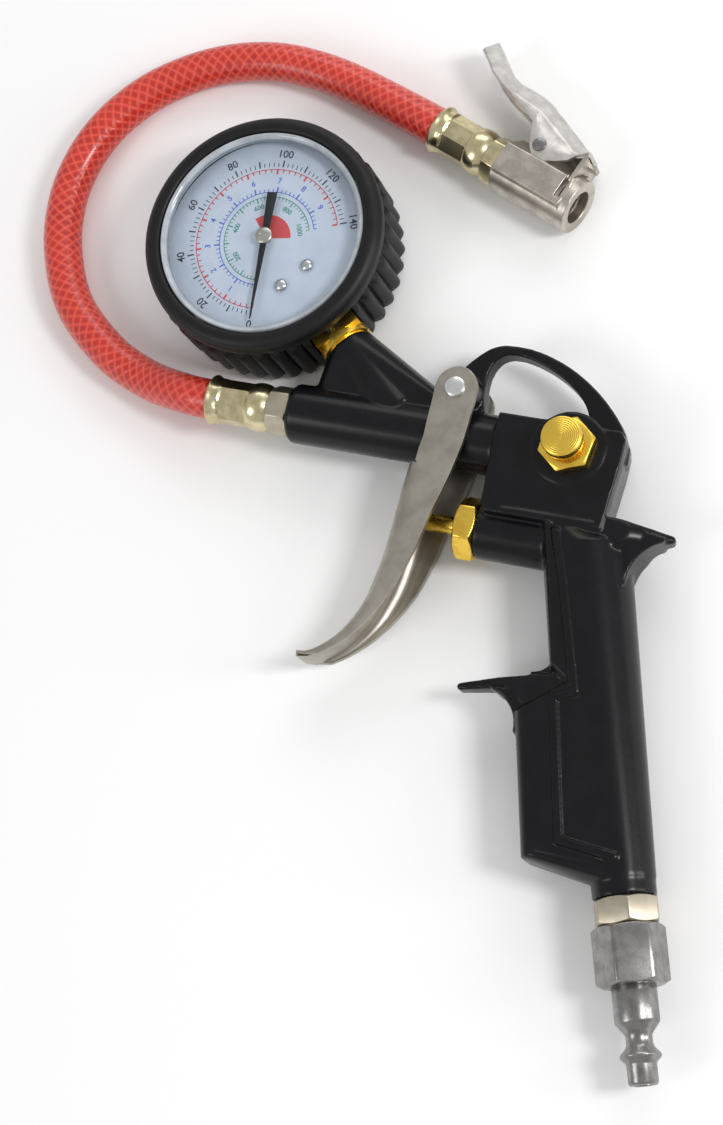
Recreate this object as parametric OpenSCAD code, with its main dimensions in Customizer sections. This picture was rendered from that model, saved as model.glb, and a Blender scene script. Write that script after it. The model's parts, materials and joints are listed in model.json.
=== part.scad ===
// Hand-held air-line tire inflator with a dial gauge, a short hose and a clip-on chuck.
// It lies on its side: X runs along the barrel to the rear, Y runs up the side view, Z is up.
// Drawn from the centre of the barrel's front face and then placed on the surface.

/* [Gun body] */
// Outside diameter of the barrel tube
barrel_d = 17; // [16.5:0.1:17.2]
// Outside diameter of the valve tube
valve_tube_d = 15.5; // [15:0.1:16]
// Drop from the barrel axis to the valve axis
valve_drop = 24.3; // [24:0.1:24.6]
// Thickness of the valve block
block_t = 20; // [19:0.5:21]
// Thickness of the hanging loop
loop_t = 6.4; // [5:0.2:8]
// Largest radius of the grip's rear tube
grip_r = 12; // [11.5:0.1:12]
// Lean of the inlet and the grip
inlet_rake = 19; // [18.5:0.25:19.5]

/* [Trigger] */
// Thickness of the trigger's sheet steel
sheet_t = 1.5; // [1.2:0.1:1.6]
// Width over the trigger's cheeks
lever_w = 20.6; // [20.6:0.1:21]
// Diameter of the trigger pin
trigger_pin_d = 4.4; // [4:0.1:4.6]

/* [Valve and bleeder] */
// Diameter of the valve's push stem
stem_d = 5; // [4.6:0.1:5]
// Size across flats of the gland nut
gland_af = 15.5; // [15:0.1:16]
// Size across flats of the bleeder nut
bleed_af = 14; // [13.4:0.1:14.4]
// Diameter of the bleeder button
button_d = 11.4; // [11:0.1:11.8]

/* [Gauge] */
// Radius of the rubber boot at its front ring
boot_r = 35.4; // [35:0.1:36]
// Height of the grip ribs on the boot
rib_h = 1.2; // [0.8:0.1:1.4]
// Number of grip ribs round the boot
rib_count = 42; // [30:1:44]
// Distance from the boss to the gauge's centre
stem_reach = 39.1; // [39:0.1:40]
// Angle of the gauge stem above the barrel
stem_angle = 41; // [40:0.5:42]
// Length of the pointer
pointer_len = 25; // [22:0.5:25.5]

/* [Inlet fittings] */
// Size across flats of the inlet adapter
adapter_af = 16; // [15.5:0.1:16.5]
// Size across flats of the quick plug
plug_af = 17; // [16:0.1:17.5]
// Diameter of the quick plug's body
plug_d = 11.8; // [11.6:0.1:12]
// Diameter of the quick plug's tip
plug_tip_d = 7.9; // [7.8:0.1:8]

/* [Hose and chuck] */
// Outside diameter of the hose
hose_d = 11.5; // [11:0.1:11.8]
// Length of each crimped ferrule
ferrule_len = 18.3; // [18:0.1:18.5]
// Size across flats of the hose fittings
hose_hex_af = 12.6; // [12:0.1:13]
// Size across flats of the chuck body
chuck_af = 16; // [15.5:0.1:16]
// Radius of the chuck's mouth
mouth_r = 4.9; // [4.8:0.1:5]

/* [Hidden] */

// heights: the middle plane of the gun stands this far above the surface
mid_z = 12;

// places in the side view
pivot = [48.3, 11.9];
boss_end = [11.2, 21.45];
bleed_at = [83.6, 0.3];
inlet_at = [124, -114];
block_front = 61;
block_rear = 99.4;
gland_x = 62;
stem_dir = [-cos(stem_angle), sin(stem_angle)];
gauge_at = boss_end + stem_reach * stem_dir;
rake_dir = [sin(inlet_rake), -cos(inlet_rake)];

// heights of the gauge's layers from the middle plane
boot_back = -mid_z;
boot_front = 15.2;
case_back = -10.4;
case_front = 12.4;
case_r = 31.4;
dial_z = 8.4;
lens_r = 30.2;

// sizes along the inlet axis
adapter_len = 7.2;
plug_hex_len = 15.4;
plug_body_len = 9.6;
plug_total = adapter_len + plug_hex_len + 24.9;
plug_end = inlet_at + plug_total * rake_dir;

// origin of the part: middle of the object's outline, on the surface
left_x = gauge_at[0] - boot_r - rib_h;
top_y = gauge_at[1] + boot_r + rib_h;
right_x = plug_end[0] + plug_tip_d / 2 * cos(inlet_rake);
bottom_y = plug_end[1] - plug_tip_d / 2 * sin(inlet_rake);
centre_x = (left_x + right_x) / 2;
centre_y = (bottom_y + top_y) / 2;

// gear train of the gauge: the sector turns the pinion eight times as far
gear_module = 0.2;
pinion_teeth = 16;
sector_teeth = 128;
gear_distance = gear_module * (pinion_teeth + sector_teeth) / 2;
sector_at = [0, -gear_distance];
tail_r = 4.5;
tail_angle = 163.1;

// chuck: start of its ferrule, its lean in the side view and its height
chuck_at = [20, 91.7];
chuck_angle = -21.7;
chuck_z = -mid_z + 8.1;
chuck_u0 = 23.4;
chuck_u1 = 49.4;
chuck_pivot = [31.4, 8.6];
jaw_u = 45;
jaw_t = 1.2;
jaw_slot = 1.6;

// hose centre line in the drawing frame, from the gun's ferrule to the chuck's
hose_z = -mid_z + hose_d / 2 + 0.1;
hose_route = [
  [-25, 0, 0], [-31, 0.3, -0.4], [-37, 1.3, -1.8], [-43, 2.6, -3.8], [-49, 4.3, -5.4],
  [-55, 6.5, -6.1], [-61, 9.2, hose_z], [-67, 13, hose_z], [-73, 17.6, hose_z],
  [-78.6, 23, hose_z], [-83, 29.4, hose_z], [-86.4, 36.4, hose_z], [-89, 43.6, hose_z],
  [-90.4, 51, hose_z], [-90.8, 58.6, hose_z], [-89.8, 66.4, hose_z], [-87.6, 73.8, hose_z],
  [-84, 81, hose_z], [-79.2, 87.4, hose_z], [-73.4, 93.2, hose_z], [-66.6, 98, hose_z],
  [-59.2, 102, hose_z], [-51, 105, hose_z], [-42.6, 106.8, hose_z], [-34, 107.4, hose_z],
  [-25.4, 106.6, hose_z], [-17, 105, hose_z], [-8.6, 102.6, -6], [0, 99.5, -5.4],
  [8, 96.4, -4.6], [14, 94.1, -4.1], [20, 91.7, chuck_z]];

// ---------------------------------------------------------------- helpers

module place() translate([-centre_x, -centre_y, mid_z]) children();
module at(p, z = 0) translate([p[0], p[1], z]) children();
module along_x() rotate([0, 90, 0]) children();
module slab(t) translate([0, 0, -t / 2]) linear_extrude(t) children();
module hex_prism(af, h) cylinder(d = af / cos(30), h = h, $fn = 6);
module ring(r_out, r_in, h) difference() {
  cylinder(r = r_out, h = h, $fn = 64);
  translate([0, 0, -1]) cylinder(r = r_in, h = h + 2, $fn = 64);
}
// stem frame of the gauge: X points from the gauge's centre to the gun
module at_gauge() at(gauge_at) rotate([0, 0, -stem_angle]) children();
// inlet frame: Z points out of the grip along the fittings
module at_inlet() at(inlet_at) rotate([0, 0, inlet_rake]) rotate([90, 0, 0]) children();
// chuck frame: X points from the hose to the mouth
module at_chuck() at(chuck_at, chuck_z) rotate([0, 0, chuck_angle]) children();
// bleeder frame: Z points out of the block's upper side
module at_bleed() at(bleed_at) children();

function arc(c, r, a0, a1, n) = [for (i = [0:n]) c + r * [cos(a0 + (a1 - a0) * i / n), sin(a0 + (a1 - a0) * i / n)]];
function bezier(a, b, c, d, n) = [for (i = [0:n]) let (t = i / n)
  pow(1 - t, 3) * a + 3 * t * pow(1 - t, 2) * b + 3 * t * t * (1 - t) * c + pow(t, 3) * d];

// ---------------------------------------------------------------- gun body

module loop_outline() polygon(concat(
  [[38, 4], [40.5, 12.5]],
  arc(pivot, 6, 170, 128, 4),
  bezier([46, 19], [50, 23.6], [52.5, 28.3], [59, 28.4], 12),
  bezier([60.5, 28.5], [72, 28.6], [88.5, 21.5], [98.9, 4.6], 14),
  [[99.2, 0], [60, 0]]));

module loop_hole() polygon(concat(
  bezier([56.2, 7.2], [53.6, 13], [51.8, 25.6], [60, 25.8], 12),
  bezier([61.5, 25.8], [70, 25.4], [87.5, 17], [85.4, 7.2], 14)));

module block_outline() polygon([
  [block_front + 1, 0], [block_front + 1, 7.2], [96.8, 7.2], [98.4, 5], [block_rear - 1, -2],
  [97.2, -20.9], [block_front + 3.4, -20.9], [block_front + 2, -19]]);

module grip_nose(from, to, r, z) {
  run = to - from;
  for (side = [-1, 1])
    at(from, side * z) rotate([0, 0, atan2(run[1], run[0])]) along_x()
      cylinder(r = r, h = norm(run), $fn = 24);
}

module rear_tube(from, to, r0, r1) {
  run = to - from;
  at(from) rotate([0, 0, atan2(run[1], run[0])]) along_x()
    cylinder(r1 = r0, r2 = r1, h = norm(run), $fn = 48);
}

grip_top = [92.6, -25];
grip_end = inlet_at - 3.2 * rake_dir;
grip_end_r = 8.7;
function grip_axis(t) = grip_top + t * (grip_end - grip_top);
function tube_r(t) = grip_r + t * (grip_end_r - grip_r);

module grip_upper() hull() {
  grip_nose([83.2, -19], [94.6, -58], 3, 6.6);
  rear_tube(grip_top, grip_axis(0.42), tube_r(0), tube_r(0.42));
}

module grip_lower() hull() {
  grip_nose([89.2, -71], [100.2, -108.9], 4.6, 4.6);
  rear_tube(grip_axis(0.4), grip_axis(0.985), tube_r(0.4), tube_r(0.985));
}

module guard_bar(from, to, r0, r1, w0, w1) hull() {
  at(from) slab(w0) circle(r = r0, $fn = 24);
  at(to) slab(w1) circle(r = r1, $fn = 24);
}

module finger_guard() {
  guard_bar([67.6, -68], [78, -65.2], 1, 1.5, 5, 7);
  guard_bar([78, -65.2], [93, -66.2], 1.5, 5.4, 7, 15);
}

module guard_fillets() {
  slab(11) difference() {
    polygon([[86, -60], [94, -53.5], [97, -62], [88, -64]]);
    at([86.4, -55.4]) circle(r = 5.4, $fn = 48);
  }
  slab(12) difference() {
    polygon([[76.6, -66.6], [92, -66], [94, -80], [85.4, -78]]);
    at([75.5, -77.6]) circle(r = 10, $fn = 48);
  }
}

module thumb_rest() hull() {
  at([115.7, -18.2]) slab(5) circle(r = 1.1, $fn = 24);
  at([101, -19.8]) slab(17) circle(r = 3.6, $fn = 24);
  at([97, -21]) slab(18) circle(r = 4.6, $fn = 24);
}

module thumb_fillet() slab(13) difference() {
  polygon([[98, -18], [114.6, -18.6], [109, -33.6], [100, -34]]);
  at([118.6, -31.6]) circle(r = 12.4, $fn = 64);
}

module gauge_boss() {
  hull() {
    at(boss_end) rotate([0, 0, 180 - stem_angle]) along_x() translate([0, 0, -1])
      cylinder(r = 7.2, h = 1, $fn = 32);
    for (x = [10.2, 46])
      at([x, 3]) rotate([-90, 0, 0]) cylinder(r = 5, h = 4.6, $fn = 32);
  }
  at(boss_end) rotate([0, 0, -stem_angle]) along_x() cylinder(r = 7.3, h = 26, $fn = 64);
}

// raised lines on the upper side, swept as short round-ended ribs
bead_w = 1.7;
bead_h = 0.5;
module bead_line(points, z) for (i = [0:len(points) - 2]) {
  run = points[i + 1] - points[i];
  at(points[i], z) rotate([0, 0, atan2(run[1], run[0])])
    translate([0, -bead_w / 2, -1]) cube([norm(run), bead_w, 1 + bead_h]);
  at(points[i + 1], z - 1) cylinder(d = bead_w + 0.16, h = 1 + bead_h, $fn = 24);
}

module body_bores() {
  // air way along the barrel, with the thread bore for the hose fitting
  translate([-1, 0, 0]) along_x() cylinder(d = 6, h = 78, $fn = 48);
  translate([-1, 0, 0]) along_x() cylinder(d = 10.1, h = 10.5, $fn = 48);
  // gauge thread bore and its air way
  at(boss_end) rotate([0, 0, 180 - stem_angle]) along_x() {
    translate([0, 0, -9.5]) cylinder(d = 13.1, h = 10, $fn = 48);
    translate([0, 0, -30]) cylinder(d = 4, h = 22, $fn = 32);
  }
  // valve chamber, and the way up from it to the barrel
  translate([gland_x - 1, -valve_drop, 0]) along_x() cylinder(d = 11.1, h = 34, $fn = 48);
  at([71.2, -valve_drop]) rotate([-90, 0, 0]) cylinder(d = 4.4, h = valve_drop, $fn = 32);
  // air way up the grip, with the inlet thread bore
  at_inlet() {
    translate([0, 0, -93]) cylinder(d = 7, h = 92, $fn = 48);
    translate([0, 0, -10]) cylinder(d = 12.6, h = 11, $fn = 48);
  }
  // bleeder bore
  at_bleed() translate([0, 0, -7]) cylinder(d = 9.1, h = 20, $fn = 48);
  // trigger pin bore
  at(pivot, -10) cylinder(d = trigger_pin_d + 0.02, h = 20, $fn = 48);
}

module gun_body() place() color("#17171a") difference() {
  union() {
    along_x() cylinder(r1 = barrel_d / 2 - 1, r2 = barrel_d / 2, h = 1, $fn = 64);
    translate([1, 0, 0]) along_x() cylinder(d = barrel_d, h = block_front + 4, $fn = 64);
    at(pivot, -8.4) cylinder(r = 5.8, h = 16.8, $fn = 48);
    slab(loop_t) difference() {
      loop_outline();
      loop_hole();
    }
    slab(block_t) block_outline();
    translate([gland_x, -valve_drop, 0]) along_x() cylinder(d = valve_tube_d, h = 34, $fn = 64);
    slab(14) polygon([[gland_x + 0.5, -10], [gland_x + 0.5, -22], [90, -28], [98, -12]]);
    at_bleed() translate([0, 0, 8]) cylinder(r = 10.2, h = 2.6, $fn = 64);
    grip_upper();
    grip_lower();
    finger_guard();
    guard_fillets();
    thumb_rest();
    thumb_fillet();
    at_inlet() translate([0, 0, -6]) cylinder(d = 17, h = 6, $fn = 64);
    gauge_boss();
    bead_line([[68.6, -20.1], [94.6, -19.8]], block_t / 2);
    bead_line([[85.3, -22.6], [91, -38], [100.4, -64.8], [95.2, -67.2], [105.3, -103.8], [117, -104.8]], 10.2);
  }
  body_bores();
}

// ---------------------------------------------------------------- trigger

module lever_profile() polygon(concat(
  [[42.2, 11.9], [42.2, -2.4], [40.8, -5], [40.4, -30]],
  bezier([40.4, -30], [40.2, -45], [38, -60], [27, -66.4], 14),
  [[20.6, -67.4], [20.4, -68.6]],
  bezier([28, -67.4], [43.6, -58], [47.5, -40], [50.4, -22.7], 14),
  [[52.6, -12.8], [54.1, -3.3], [54.5, 9]],
  arc([48.35, 11.9], 6.2, 0, 180, 16)));

module lever_front_view() polygon([[-10.3, 20], [10.3, 20], [10.3, -44], [6.4, -70], [-6.4, -70], [-10.3, -44]]);

module trigger_lever() place() color("#9a9488") difference() {
  intersection() {
    slab(lever_w) lever_profile();
    rotate([0, 90, 0]) linear_extrude(80) lever_front_view();
  }
  slab(lever_w - 2 * sheet_t) intersection() {
    translate([sheet_t, 0.4]) lever_profile();
    translate([30, -70]) square([40, 100]);
  }
  slab(lever_w - 2 * sheet_t) translate([30, -10.4]) square([40, 40]);
  at(pivot, -15) cylinder(d = trigger_pin_d + 0.1, h = 30, $fn = 48);
}

module trigger_pin() place() color("#c8c8c4") at(pivot) {
  translate([0, 0, -lever_w / 2 - 0.3]) cylinder(d = trigger_pin_d, h = lever_w + 0.6, $fn = 48);
  for (side = [0, 180]) rotate([side, 0, 0]) translate([0, 0, lever_w / 2 + 0.15]) {
    cylinder(d = 6, h = 0.5, $fn = 48);
    translate([0, 0, 0.5]) cylinder(d1 = 6, d2 = 4, h = 0.6, $fn = 48);
  }
}

// ---------------------------------------------------------------- air valve

module on_valve() translate([gland_x, -valve_drop, 0]) along_x() children();
stem_tip_x = -19.75;
seat_x = 13;

module gland_nut() place() color("#e0b030") on_valve() difference() {
  union() {
    rotate([0, 0, 90]) translate([0, 0, -5.8]) hex_prism(gland_af, 5.8);
    translate([0, 0, -0.5]) cylinder(d = 11, h = 7.5, $fn = 48);
    translate([0, 0, -6.4]) cylinder(d = 9.5, h = 1, $fn = 48);
  }
  translate([0, 0, -8]) cylinder(d = stem_d + 0.1, h = 20, $fn = 48);
  translate([0, 0, 2]) cylinder(d = 8.4, h = 6, $fn = 48);
}

module valve_stem() place() color("#d8a83a") on_valve() {
  translate([0, 0, stem_tip_x]) cylinder(d1 = stem_d - 1.2, d2 = stem_d, h = 0.8, $fn = 48);
  translate([0, 0, stem_tip_x + 0.8]) cylinder(d = stem_d, h = seat_x - stem_tip_x - 3.8, $fn = 48);
  translate([0, 0, seat_x - 3.5]) cylinder(d = 2.8, h = 8.5, $fn = 32);
  translate([0, 0, seat_x + 3.6]) cylinder(d = 8.6, h = 1.4, $fn = 48);
}

module stem_seal() place() color("#202022") on_valve() translate([0, 0, 2.2]) ring(4.15, stem_d / 2 + 0.02, 4.4);

module valve_seat() place() color("#c89a38") on_valve() translate([0, 0, seat_x - 2]) ring(5.53, 3.1, 3.6);

module poppet_seal() place() color("#202022") on_valve() translate([0, 0, seat_x + 1.7]) ring(4.3, 1.42, 1.9);

// a closed coil drawn as a stack of round rings joined by a thin sleeve
module spring_stack(r, wire, length, turns) {
  rotate_extrude($fn = 48) for (i = [0:turns - 1])
    translate([r, wire / 2 + i * (length - wire) / (turns - 1)]) circle(d = wire, $fn = 16);
  ring(r + 0.12, r - 0.12, length);
}

module valve_spring() place() color("#b8b8b8") on_valve() translate([0, 0, seat_x + 5.1]) spring_stack(3.6, 0.9, 14.6, 8);

// ---------------------------------------------------------------- bleeder

module bleed_nut() place() color("#e0b030") at_bleed() difference() {
  union() {
    rotate([0, 0, 22]) translate([0, 0, 10.7]) hex_prism(bleed_af, 3.2);
    translate([0, 0, 4.7]) cylinder(d = 9, h = 7, $fn = 48);
  }
  cylinder(d = 5.1, h = 30, $fn = 48);
}

module bleed_button() place() color("#e0b030") at_bleed() {
  translate([0, 0, 16.6]) cylinder(d = button_d, h = 3.4, $fn = 64);
  translate([0, 0, 20]) cylinder(d1 = button_d, d2 = button_d - 1, h = 0.5, $fn = 64);
  translate([0, 0, 2]) cylinder(d = 5, h = 15, $fn = 48);
  translate([0, 0, 1]) cylinder(d = 7.6, h = 2, $fn = 48);
}

module bleed_seal() place() color("#202022") at_bleed() translate([0, 0, 3.05]) ring(3.8, 2.52, 1.5);

module bleed_spring() place() color("#b8b8b8") at_bleed() translate([0, 0, -6.9]) spring_stack(3.2, 0.8, 7.8, 6);

// ---------------------------------------------------------------- inlet fittings

module inlet_adapter() place() color("#c9c2a6") at_inlet() difference() {
  union() {
    translate([0, 0, 0.05]) rotate([0, 0, 15]) hex_prism(adapter_af, adapter_len - 0.05);
    translate([0, 0, -9.8]) cylinder(d = 12.5, h = 10, $fn = 48);
  }
  translate([0, 0, -12]) cylinder(d = 6.5, h = 24, $fn = 48);
  translate([0, 0, -3]) cylinder(d = 11.1, h = 12, $fn = 48);
}

module quick_plug() place() color("#b6b2a8") at_inlet() translate([0, 0, adapter_len]) difference() {
  union() {
    translate([0, 0, 0.05]) rotate([0, 0, -15]) hex_prism(plug_af, plug_hex_len - 1.45);
    translate([0, 0, plug_hex_len - 1.4]) cylinder(d1 = plug_af, d2 = plug_af - 2.6, h = 1.4, $fn = 64);
    translate([0, 0, -9.6]) cylinder(d = 11, h = 10, $fn = 48);
    translate([0, 0, plug_hex_len]) rotate_extrude($fn = 64) polygon([
      [0, 0], [plug_d / 2, 0], [plug_d / 2, plug_body_len], [3.5, plug_body_len + 2.7],
      [3.5, plug_body_len + 5.6], [5.5, plug_body_len + 7.9], [plug_tip_d / 2, plug_body_len + 9.7],
      [plug_tip_d / 2, plug_body_len + 15.3], [0, plug_body_len + 15.3]]);
  }
  translate([0, 0, -11]) cylinder(d = 5, h = 60, $fn = 48);
}

// ---------------------------------------------------------------- gauge

module gauge_boot() place() color("#1c1c1e") at_gauge() difference() {
  union() {
    rotate_extrude($fn = 128) polygon([
      [22, boot_back], [boot_r - 3, boot_back], [boot_r - 0.8, boot_back + 1.6], [boot_r - 0.8, 9],
      [boot_r, 10], [boot_r, 13.4], [boot_r - 1.8, boot_front], [lens_r + 1.2, boot_front],
      [lens_r, 14], [lens_r, case_front + 0.1], [case_r + 0.05, case_front + 0.1],
      [case_r + 0.05, case_back - 0.05], [22, case_back - 0.05]]);
    for (i = [0:rib_count - 1])
      rotate([0, 0, (i + 0.5) * 360 / rib_count]) translate([boot_r - 1.5, -1.3, boot_back + 2])
        cube([1.5 + rib_h, 2.6, 19.6]);
  }
  // way out for the stem, with a tab left standing in its upper edge
  difference() {
    translate([25, -7.6, boot_back - 1]) cube([20, 15.2, 23.2]);
    translate([25, -2, 7.15]) cube([20, 4, 10]);
  }
}

module gauge_case() place() color("#26262a") at_gauge() difference() {
  translate([0, 0, case_back]) cylinder(r = case_r, h = case_front - case_back, $fn = 128);
  translate([0, 0, case_back + 1]) cylinder(r = case_r - 1, h = 40, $fn = 128);
  translate([20, -7.1, -7.1]) cube([20, 14.2, 14.2]);
}

module gauge_lens() place() color([0.9, 0.95, 1, 0.4]) at_gauge() {
  translate([0, 0, case_front - 0.2]) cylinder(r = lens_r - 0.1, h = 1.8, $fn = 128);
  translate([0, 0, case_front + 1]) ring(lens_r - 0.1, lens_r - 1.5, 1.7);
  translate([0, 0, case_front - 1]) ring(case_r - 1.1, case_r - 3, 1.05);
}

module dial_plate() place() color("#f2f4f6") at_gauge() difference() {
  translate([0, 0, dial_z]) cylinder(r = case_r - 1.3, h = 0.6, $fn = 128);
  cylinder(d = 3, h = 30, $fn = 32);
  for (y = screw_y) translate([screw_x, y, 0]) cylinder(d = 2, h = 30, $fn = 32);
}
screw_x = 15;
screw_y = [-4.6, 4.6];

module dial_screws() place() color("#c8c8c8") at_gauge() for (y = screw_y) translate([screw_x, y, 0]) {
  translate([0, 0, 1]) cylinder(d = 1.9, h = dial_z, $fn = 32);
  translate([0, 0, dial_z + 0.62]) cylinder(d1 = 3.6, d2 = 2.4, h = 0.9, $fn = 32);
}

// the pointer rests at zero, 45 degrees round from the stem
module pointer() place() color("#1a1a1a") at_gauge() rotate([0, 0, -45]) translate([0, 0, 10.6]) linear_extrude(0.5)
  difference() {
    union() {
      polygon([[0, 1], [pointer_len, 0.2], [pointer_len, -0.2], [0, -1], [-3, -0.9], [-12.6, -1.6], [-12.6, 1.6],
        [-3, 0.9]]);
      circle(d = 4.6, $fn = 48);
    }
    circle(d = 2.5, $fn = 32);
  }

module pointer_hub() place() color("#c9c4b4") at_gauge() difference() {
  union() {
    translate([0, 0, 11.12]) cylinder(d = 5, h = 0.9, $fn = 48);
    translate([0, 0, 9.3]) cylinder(d = 3.4, h = 1.28, $fn = 48);
    translate([0, 0, 10]) cylinder(d = 2.46, h = 1.5, $fn = 48);
  }
  cylinder(d = 1.62, h = 11.55, $fn = 32);
}

function gear_points(teeth, r_root, r_tip, from, to) = [for (i = [from:to]) let (a = 360 * i / teeth, s = 360 / teeth)
  each [r_root * [cos(a - 0.3 * s), sin(a - 0.3 * s)], r_tip * [cos(a - 0.14 * s), sin(a - 0.14 * s)],
    r_tip * [cos(a + 0.14 * s), sin(a + 0.14 * s)], r_root * [cos(a + 0.3 * s), sin(a + 0.3 * s)]]];

module pinion_shaft() place() color("#d0a850") at_gauge() {
  translate([0, 0, -5.9]) cylinder(d = 1.6, h = 17.4, $fn = 32);
  // a gap of the pinion faces the sector when the pointer rests
  translate([0, 0, -1]) rotate([0, 0, -90 + 180 / pinion_teeth]) linear_extrude(2.4)
    polygon(gear_points(pinion_teeth, 1.35, 1.72, 0, pinion_teeth - 1));
}

module sector_gear() place() color("#d0a850") at_gauge() at(sector_at) {
  difference() {
    translate([0, 0, -0.6]) union() {
      linear_extrude(1.4) polygon(concat([[-1.5, 0]], gear_points(sector_teeth, 12.45, 12.88, 19, 34), [[-1.8, 2]]));
      cylinder(r = 2.4, h = 1.4, $fn = 32);
      rotate([0, 0, tail_angle]) translate([0, -1.8, 0]) cube([tail_r, 3.6, 1.4]);
      rotate([0, 0, tail_angle]) translate([tail_r, 0, 0]) cylinder(r = 1.8, h = 1.4, $fn = 32);
    }
    rotate([0, 0, tail_angle]) translate([tail_r, 0, -3]) cylinder(d = 2.2, h = 6, $fn = 32);
  }
  translate([0, 0, -5.9]) cylinder(d = 1.6, h = 9.7, $fn = 32);
}

link_end_y = -19.9;
module movement_link() place() color("#c8c8c8") at_gauge() {
  tail = sector_at + tail_r * [cos(tail_angle), sin(tail_angle)];
  at(tail, -1.4) cylinder(d = 1, h = 3.4, $fn = 32);
  translate([tail[0] - 0.8, link_end_y, 1.2]) cube([1.6, tail[1] - link_end_y + 0.8, 0.8]);
}

module movement_plates() place() color("#d0a850") at_gauge() difference() {
  for (z = [-6.1, 3.05]) translate([-5, -18, z]) cube([18, 22.5, 1]);
  for (p = [[0, 0], sector_at]) at(p, -10) cylinder(d = 1.7, h = 20, $fn = 32);
}

module movement_pillars() place() color("#d0a850") at_gauge() for (p = [[-4.1, 3.6], [11, -16]])
  at(p, -5.05) cylinder(d = 1.6, h = 8.05, $fn = 32);

function spiral(r0, r1, turns, n) = [for (i = [0:n]) let (t = i / n) (r0 + (r1 - r0) * t) * [cos(360 * turns * t), sin(360 * turns * t)]];
module hair_spring() place() color("#b08850") at_gauge() translate([0, 0, 1.7]) linear_extrude(0.6) {
  outer = spiral(1.9, 4.1, 3, 72);
  inner = spiral(1.72, 3.92, 3, 72);
  polygon(concat(outer, [for (i = [72:-1:0]) inner[i]]));
}

module bourdon_tube() place() color("#c09038") at_gauge() rotate([0, 0, 19.5]) rotate_extrude(angle = 240, $fn = 96)
  translate([22, 0]) difference() {
    translate([-1.5, -4]) square([3, 7]);
    translate([-1.1, -3.6]) square([2.2, 6.2]);
  }

module gauge_socket() place() color("#d8ac48") at_gauge() difference() {
  union() {
    translate([12.5, -6.9, -5.05]) cube([22, 13.8, 8.05]);
    translate([30.6, -7, -7]) cube([6, 14, 14]);
    translate([36, 0, 0]) along_x() cylinder(d = 15, h = 2.6, $fn = 64);
    translate([36, 0, 0]) along_x() cylinder(d = 13, h = 11.5, $fn = 48);
  }
  translate([22, 0, -1]) along_x() cylinder(d = 3, h = 40, $fn = 32);
  for (y = screw_y) translate([screw_x, y, 0]) cylinder(d = 2, h = 20, $fn = 32);
}

// ---------------------------------------------------------------- hose ends

// crimped sleeve: starts at the hose, ends in a collar against the fitting
module ferrule_shape() rotate_extrude($fn = 64) polygon([
  [3.2, ferrule_len - 1.4], [3.2, ferrule_len], [6.3, ferrule_len], [6.9, ferrule_len - 1], [6.9, ferrule_len - 3],
  [6.2, ferrule_len - 5], [6.1, 3.4], [6.9, 1.2], [7, 0], [3.2, 0], [3.2, 1]]);

// hex collar with a barb that runs into the ferrule and a threaded end
module fitting_shape(hex_len, thread_d, thread_len) difference() {
  union() {
    rotate([0, 0, 30]) hex_prism(hose_hex_af, hex_len);
    translate([0, 0, 0.3 - ferrule_len]) cylinder(d = 6.3, h = ferrule_len, $fn = 48);
    translate([0, 0, hex_len - 0.2]) cylinder(d = thread_d, h = thread_len + 0.2, $fn = 48);
  }
  translate([0, 0, -30]) cylinder(d = 4.2, h = 60, $fn = 32);
}

gun_hex_len = 6.6;
module gun_hose_fitting() place() color("#cbb870") translate([-gun_hex_len, 0, 0]) along_x()
  fitting_shape(gun_hex_len - 0.02, 10, 8);

module gun_ferrule() place() color("#b8aa62") translate([-gun_hex_len - 0.05 - ferrule_len, 0, 0]) along_x() ferrule_shape();

chuck_hex_len = 5;
module chuck_ferrule() place() color("#b8aa62") at_chuck() along_x() ferrule_shape();

module chuck_hose_fitting() place() color("#b8a25c") at_chuck() translate([ferrule_len + 0.05, 0, 0]) along_x()
  fitting_shape(chuck_hex_len, 9, 6);

// ---------------------------------------------------------------- hose

hose_sides = 12;
function unit(v) = v / norm(v);
function route_dir(p, i) = unit(p[min(i + 1, len(p) - 1)] - p[max(i - 1, 0)]);
function hose_ring(c, d) = let (side = unit(cross(d, [0, 0, 1])), up = cross(side, d))
  [for (k = [0:hose_sides - 1]) c + hose_d / 2 * (cos(360 * k / hose_sides) * side + sin(360 * k / hose_sides) * up)];

module hose() place() color("#e0402c") {
  p = hose_route;
  n = len(p);
  rings = [for (i = [0:n - 1]) each hose_ring(p[i], i == 0 ? [-1, 0, 0] :
    i == n - 1 ? [cos(chuck_angle), sin(chuck_angle), 0] : route_dir(p, i))];
  polyhedron(rings, concat(
    [[for (k = [0:hose_sides - 1]) k]],
    [for (i = [0:n - 2], k = [0:hose_sides - 1]) let (a = i * hose_sides, b = a + hose_sides, m = (k + 1) % hose_sides)
      [a + k, b + k, b + m, a + m]],
    [[for (k = [hose_sides - 1:-1:0]) (n - 1) * hose_sides + k]]));
}

// ---------------------------------------------------------------- chuck

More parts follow.
